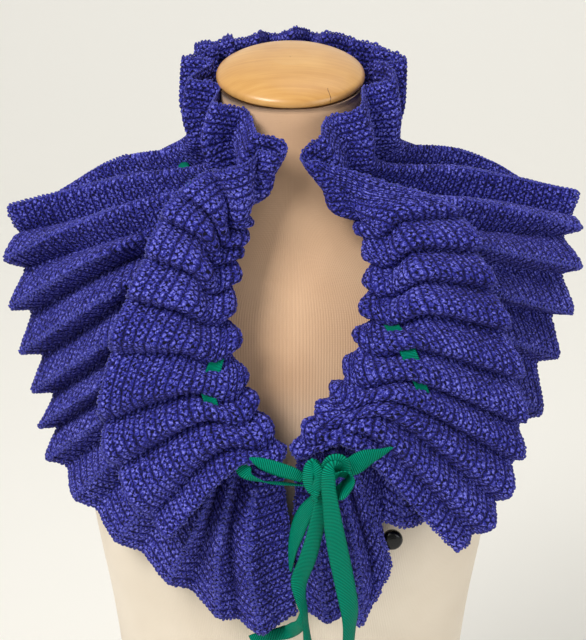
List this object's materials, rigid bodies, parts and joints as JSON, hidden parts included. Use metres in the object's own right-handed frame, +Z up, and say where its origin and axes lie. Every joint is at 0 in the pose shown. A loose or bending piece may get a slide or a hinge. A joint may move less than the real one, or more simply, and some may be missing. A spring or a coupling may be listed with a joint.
{
  "type": "pleated knitted capelet on a dress form",
  "caption": "Knitted shoulder capelet in deep accordion pleats, with a frilled collar and turned-out lapels tied by a threaded ribbon, on a limbless dress form with a domed wooden neck cap.",
  "frame": {"origin": "centre of the form's flat underside, under the neck's middle plane, z = 0 on the surface it stands on", "axes": "+Z up; -Y is the way the form faces; +X is the viewer's right from the front"},
  "size_m": [0.4637, 0.3335, 0.7962],
  "materials": {
    "yarn": "hand-knitted violet-blue yarn, matt, slightly fuzzy",
    "ribbon": "emerald grosgrain, fine cross ribs, soft sheen",
    "jersey": "fine-ribbed cream jersey, matt",
    "wood": "turned and lacquered, satin",
    "knob": "gloss"
  },
  "bodies": {
    "root": {"capelet_band": "yarn", "ribbon_threaded": "ribbon", "ribbon_bow": "ribbon", "form_torso": "jersey", "neck_cap": "wood", "form_knob": "knob"}
  },
  "joints": []
}
